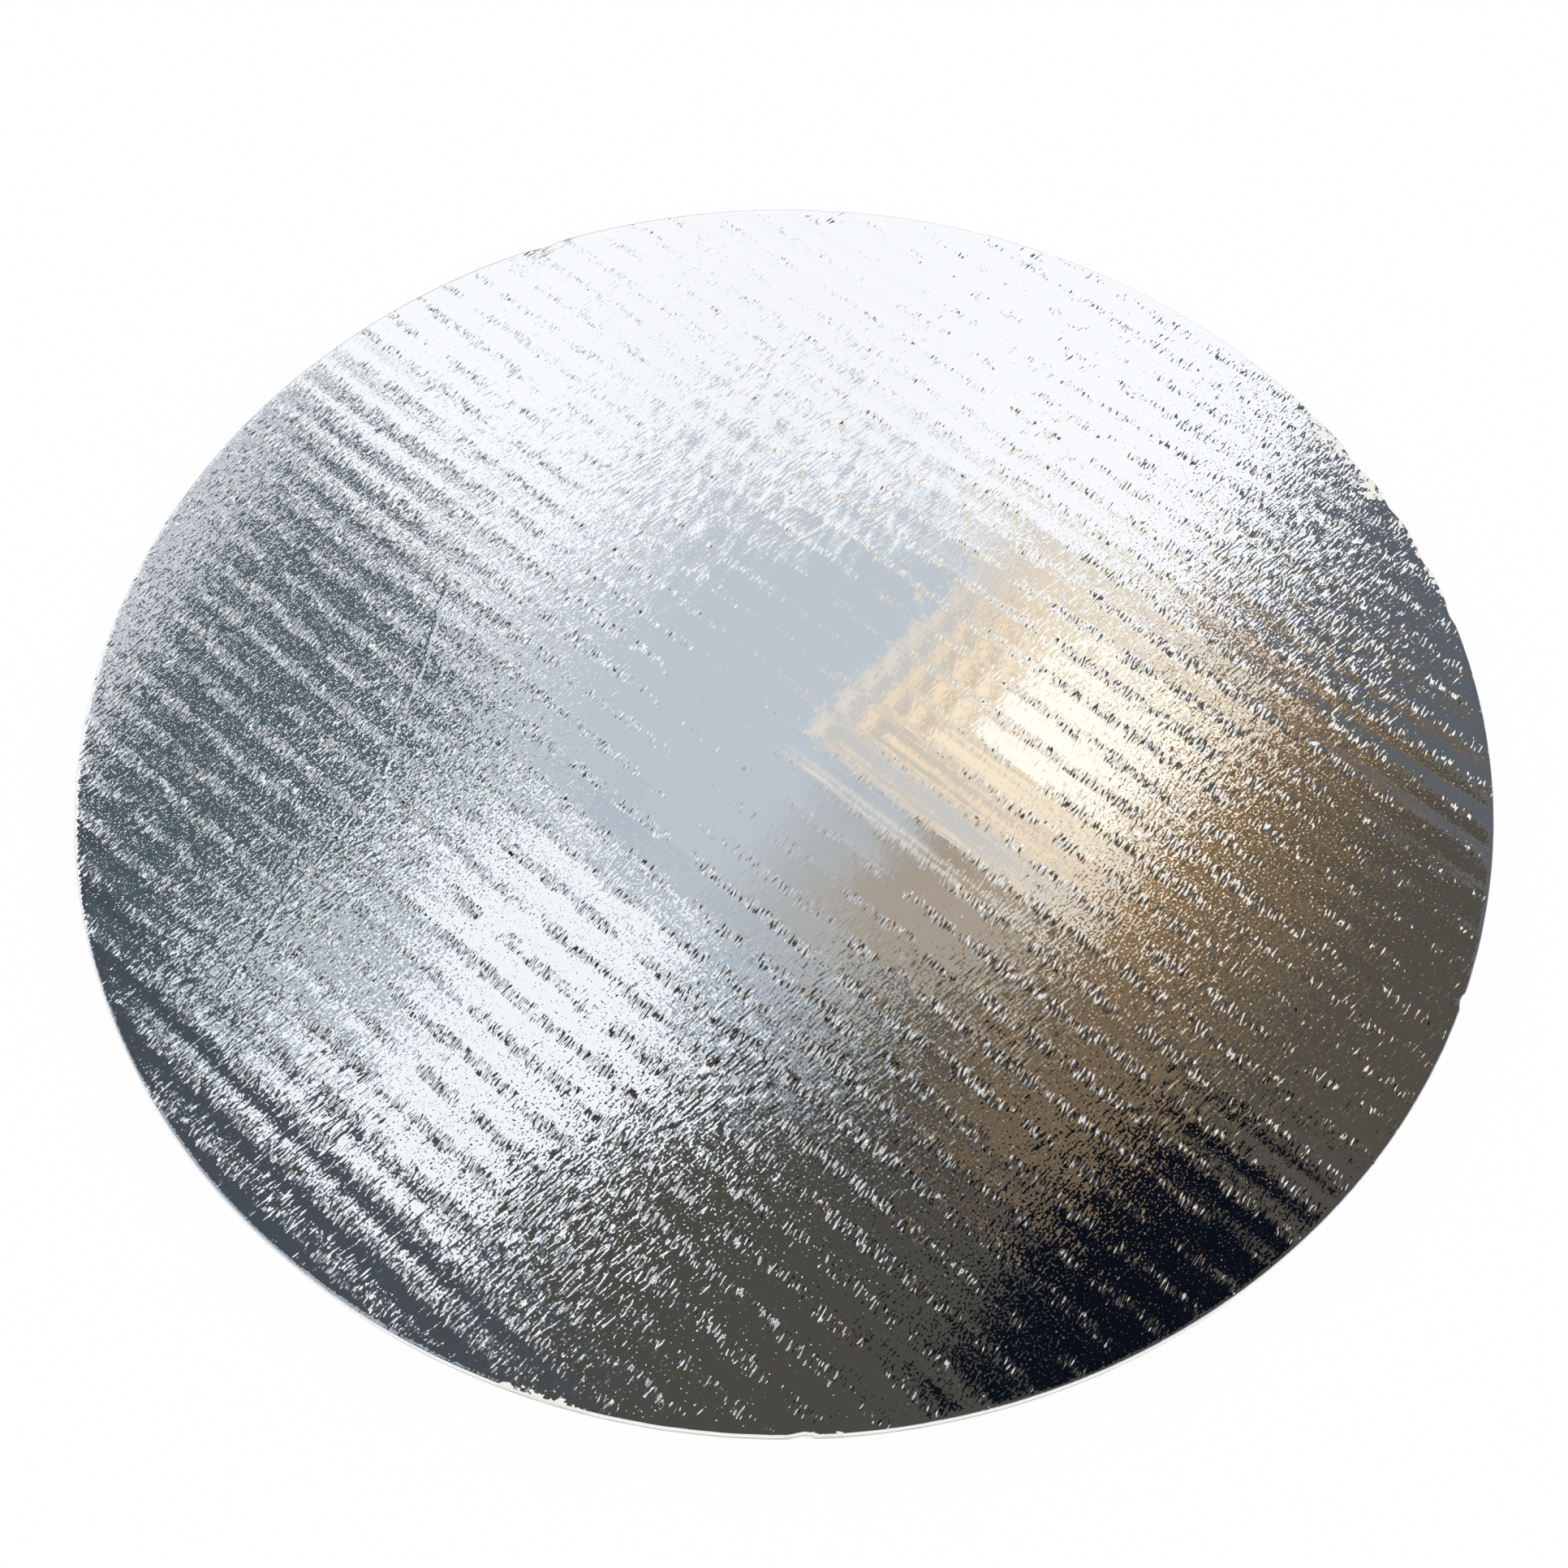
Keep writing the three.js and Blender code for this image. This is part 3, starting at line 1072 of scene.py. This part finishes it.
@dataclass
class Studio:
    """The white room round the board, its ceiling of soft fields, its lamps and the floor."""

    view: Viewpoint
    radius: float
    wall: Colour = (0.985, 0.99, 1.0)
    wall_strength: float = 1.03
    horizon: tuple[float, float] = (0.2, 0.46)
    far_pale: Colour = (0.90, 0.915, 0.93)
    far_dark: Colour = (0.42, 0.45, 0.48)
    cloud_scale: tuple[float, float, float] = (2.5, 2.5, 7.0)
    cloud_edge: tuple[float, float] = (0.4, 0.6)
    least_rise: float = 0.02
    warp: float = 0.22
    warp_scale: float = 3.5
    floor_size: float = 3.0
    floor_drop: float = 0.02 * MM
    floor_tone: Colour = (0.9, 0.9, 0.9)
    floor_roughness: float = 0.9
    floor_glow: float = 0.95
    panels: tuple[Panel, ...] = (
        Panel("left_dark", (-9.0, -0.4), (-2.1, 9.0), (0.66, 0.68, 0.71), 0.2),
        Panel("grey_ceiling", (-0.38, -2.4), (2.0, 0.43), (0.755, 0.79, 0.82), 0.12),
        Panel("pale_corner", (-0.8, 0.26), (-0.22, 0.8), (0.985, 0.99, 1.0), 0.12),
        Panel("slate_side", (-0.9, -2.4), (-0.34, -0.26), (0.305, 0.36, 0.385), 0.05),
        Panel("slate_shelf", (-0.9, -0.5), (-0.56, -0.08), (0.33, 0.38, 0.41), 0.05),
        Panel("brown_side", (0.3, -3.5), (4.0, 0.0), (0.30, 0.29, 0.27), 0.06),
        Panel("slate_gap", (0.13, -3.5), (0.3, -0.4), (0.36, 0.39, 0.41), 0.05),
        Panel("neutral_middle", (0.14, -0.36), (0.38, -0.04), (0.69, 0.70, 0.70), 0.08),
        Panel("low_edge", (-0.9, -1.3), (0.5, -0.86), (0.28, 0.31, 0.335), 0.03),
        Panel("low_glow", (-0.9, -2.6), (0.5, -1.22), (0.66, 0.69, 0.72), 0.06),
        Panel("far_corner", (0.4, 0.47), (4.0, 4.0), (0.37, 0.39, 0.41), 0.06),
        Panel("far_edge", (0.3, 0.8), (4.0, 4.0), (0.36, 0.385, 0.41), 0.06),
        Panel("tan_low", (0.28, -0.2), (0.56, 0.05), (0.67, 0.625, 0.57), 0.09),
        Panel("olive_end", (0.66, -0.12), (4.0, 0.5), (0.32, 0.305, 0.28), 0.05),
        Panel("brown_patch", (0.5, -0.35), (0.77, 0.56), (0.45, 0.39, 0.31), 0.06),
        Panel("tan_glow", (0.3, 0.0), (0.61, 0.56), (0.64, 0.51, 0.36), 0.08),
        Panel("outer_ring", (0.035, -0.02), (0.54, 0.5), (0.90, 0.87, 0.82), 0.006, steady=True),
        Panel("outer_gap", (0.06, 0.003), (0.53, 0.485), (0.79, 0.79, 0.78), 0.006, steady=True),
        Panel("middle_ring", (0.084, 0.028), (0.52, 0.472), (0.95, 0.88, 0.77), 0.006, steady=True),
        Panel("middle_gap", (0.107, 0.05), (0.51, 0.458), (0.80, 0.77, 0.73), 0.006, steady=True),
        Panel("inner_ring", (0.129, 0.073), (0.5, 0.448), (1.0, 0.91, 0.79), 0.006, steady=True),
        Panel("inner_gap", (0.152, 0.095), (0.495, 0.436), (0.83, 0.77, 0.69), 0.006, steady=True),
        Panel("cool_glow", (-0.27, -0.84), (0.24, -0.26), (0.70, 0.74, 0.78), 0.03),
        Panel("navy_opening", (0.745, -0.64), (1.2, -0.12), (0.04, 0.06, 0.10), 0.02),
        Panel("pale_left", (-1.6, -0.8), (-0.86, 0.0), (0.78, 0.80, 0.82), 0.05),
        Panel("lamp_frame", (0.173, 0.117), (0.485, 0.425), (1.0, 0.945, 0.84), 0.006, steady=True),
        Panel("lamp_seam", (0.2, 0.142), (0.475, 0.415), (0.86, 0.79, 0.69), 0.006, steady=True),
        Panel("warm_lamp", (0.218, 0.16), (0.465, 0.405), (1.0, 0.98, 0.93), 0.012, 1.1, steady=True),
        Panel("cool_lamp", (-0.22, -0.6), (0.16, -0.31), (0.975, 0.985, 0.995), 0.015),
        Panel("lamp_foot", (-0.13, -0.85), (0.27, -0.5), (0.975, 0.985, 0.995), 0.015),
    )

    def panel_group(self) -> bpy.types.NodeTree:
        """Makes the soft rectangle that each panel uses.

        Returns:
            A group whose Mask is 1 inside the rectangle and 0 outside it.
        """
        g, given, result = new_group(
            "ceiling_panel",
            {"Spot": VECTOR, "Centre": VECTOR, "Half": VECTOR, "Soft": FLOAT},
            {"Mask": FLOAT},
        )
        away = g.vector("SUBTRACT", given.outputs["Spot"], given.outputs["Centre"])
        past = g.vector("SUBTRACT", g.vector("ABSOLUTE", away), given.outputs["Half"])
        soft = given.outputs["Soft"]
        inner = g.math("MULTIPLY", soft, -1.0)
        within = [g.fall(part, inner, soft) for part in g.split(past)[:2]]
        g.feed(result.inputs["Mask"], g.math("MULTIPLY", *within))
        return g.tree

    def build_world(self) -> None:
        """Makes the world: white walls, and overhead the ceiling that the foil mirrors."""
        world = bpy.data.worlds.new("studio")
        world.use_nodes = True
        world.cycles.sampling_method = "NONE"
        bpy.context.scene.world = world
        g = Graph(world.node_tree)
        background = world.node_tree.nodes["Background"]
        direction = g.node("ShaderNodeTexCoord").outputs["Generated"]
        x, y, z = g.split(direction)
        rise = g.math("MAXIMUM", z, self.least_rise)
        eye = self.view.offset() / self.radius
        spot = g.join(
            g.math("MULTIPLY_ADD", g.math("DIVIDE", x, rise), eye.z, eye.x),
            g.math("MULTIPLY_ADD", g.math("DIVIDE", y, rise), eye.z, eye.y),
            0.0,
        )
        wave = g.noise(g.vector("MULTIPLY", spot, (self.warp_scale,) * 3)).outputs["Color"]
        stray = g.vector("SUBTRACT", wave, (0.5,) * 3)
        strayed = g.vector("ADD", spot, g.vector("MULTIPLY", stray, (self.warp, self.warp, 0.0)))
        group = self.panel_group()
        colour: object = lit(self.wall, self.wall_strength)
        for panel in self.panels:
            centre = (*((a + b) / 2 for a, b in zip(panel.low, panel.high)), 0.0)
            half = (*((b - a) / 2 for a, b in zip(panel.low, panel.high)), 0.0)
            given = spot if panel.steady else strayed
            shape = g.place(group, Spot=given, Centre=centre, Half=half, Soft=panel.soft)
            colour = g.mix(shape.outputs["Mask"], colour, lit(panel.colour, panel.strength))
        cloud = g.noise(g.vector("MULTIPLY", direction, self.cloud_scale), flat=False).outputs[0]
        pale = g.step(cloud, *self.cloud_edge)
        far = g.mix(pale, linear(self.far_dark), linear(self.far_pale))
        colour = g.mix(g.fall(z, *self.horizon), colour, far)
        rays = g.node("ShaderNodeLightPath")
        seen = g.mix(rays.outputs["Is Glossy Ray"], (1.0, 1.0, 1.0, 1.0), colour)
        g.feed(background.inputs["Color"], seen)
        g.feed(background.inputs["Strength"], 1.0)

    def build_floor(self) -> None:
        """Makes the pale floor, which keeps a soft shadow of the board."""
        half = self.floor_size / 2
        mesh = bpy.data.meshes.new("floor")
        corners = [(-half, -half, 0), (half, -half, 0), (half, half, 0), (-half, half, 0)]
        mesh.from_pydata(corners, [], [(0, 1, 2, 3)])
        floor = bpy.data.objects.new("floor", mesh)
        floor.location.z = -self.floor_drop
        bpy.context.scene.collection.objects.link(floor)
        material = bpy.data.materials.new("pale_floor")
        material.use_nodes = True
        g = Graph(material.node_tree)
        shader = material.node_tree.nodes["Principled BSDF"]
        g.feed(shader.inputs["Base Color"], (*self.floor_tone, 1.0))
        g.feed(shader.inputs["Roughness"], self.floor_roughness)
        g.feed(shader.inputs["Specular IOR Level"], 0.0)
        glow = g.node("ShaderNodeEmission")
        rays = g.node("ShaderNodeLightPath")
        blend = g.node("ShaderNodeMixShader")
        seen = g.math("MAXIMUM", rays.outputs["Is Camera Ray"], rays.outputs["Is Glossy Ray"])
        g.feed(blend.inputs[0], g.math("MULTIPLY", seen, self.floor_glow))
        g.feed(blend.inputs[1], shader.outputs["BSDF"])
        g.feed(blend.inputs[2], glow.outputs["Emission"])
        g.feed(material.node_tree.nodes["Material Output"].inputs["Surface"], blend.outputs[0])
        mesh.materials.append(material)

    def build(self) -> None:
        """Builds the room and sets the plain view transform."""
        self.build_world()
        self.build_floor()
        bpy.context.scene.view_settings.view_transform = "Standard"


def main() -> None:
    """Builds the camera, the board and the studio, and reports each piece."""
    logging.basicConfig(level=logging.INFO, format="%(name)s: %(message)s")
    view = Viewpoint()
    board = CakeBoard()
    view.build(board.thickness)
    made = board.build(Effects())
    log.info("%s: %d faces", made.name, len(made.data.polygons))
    Studio(view, board.radius).build()
    log.info("studio: floor and ceiling")


if __name__ == "__main__":
    main()
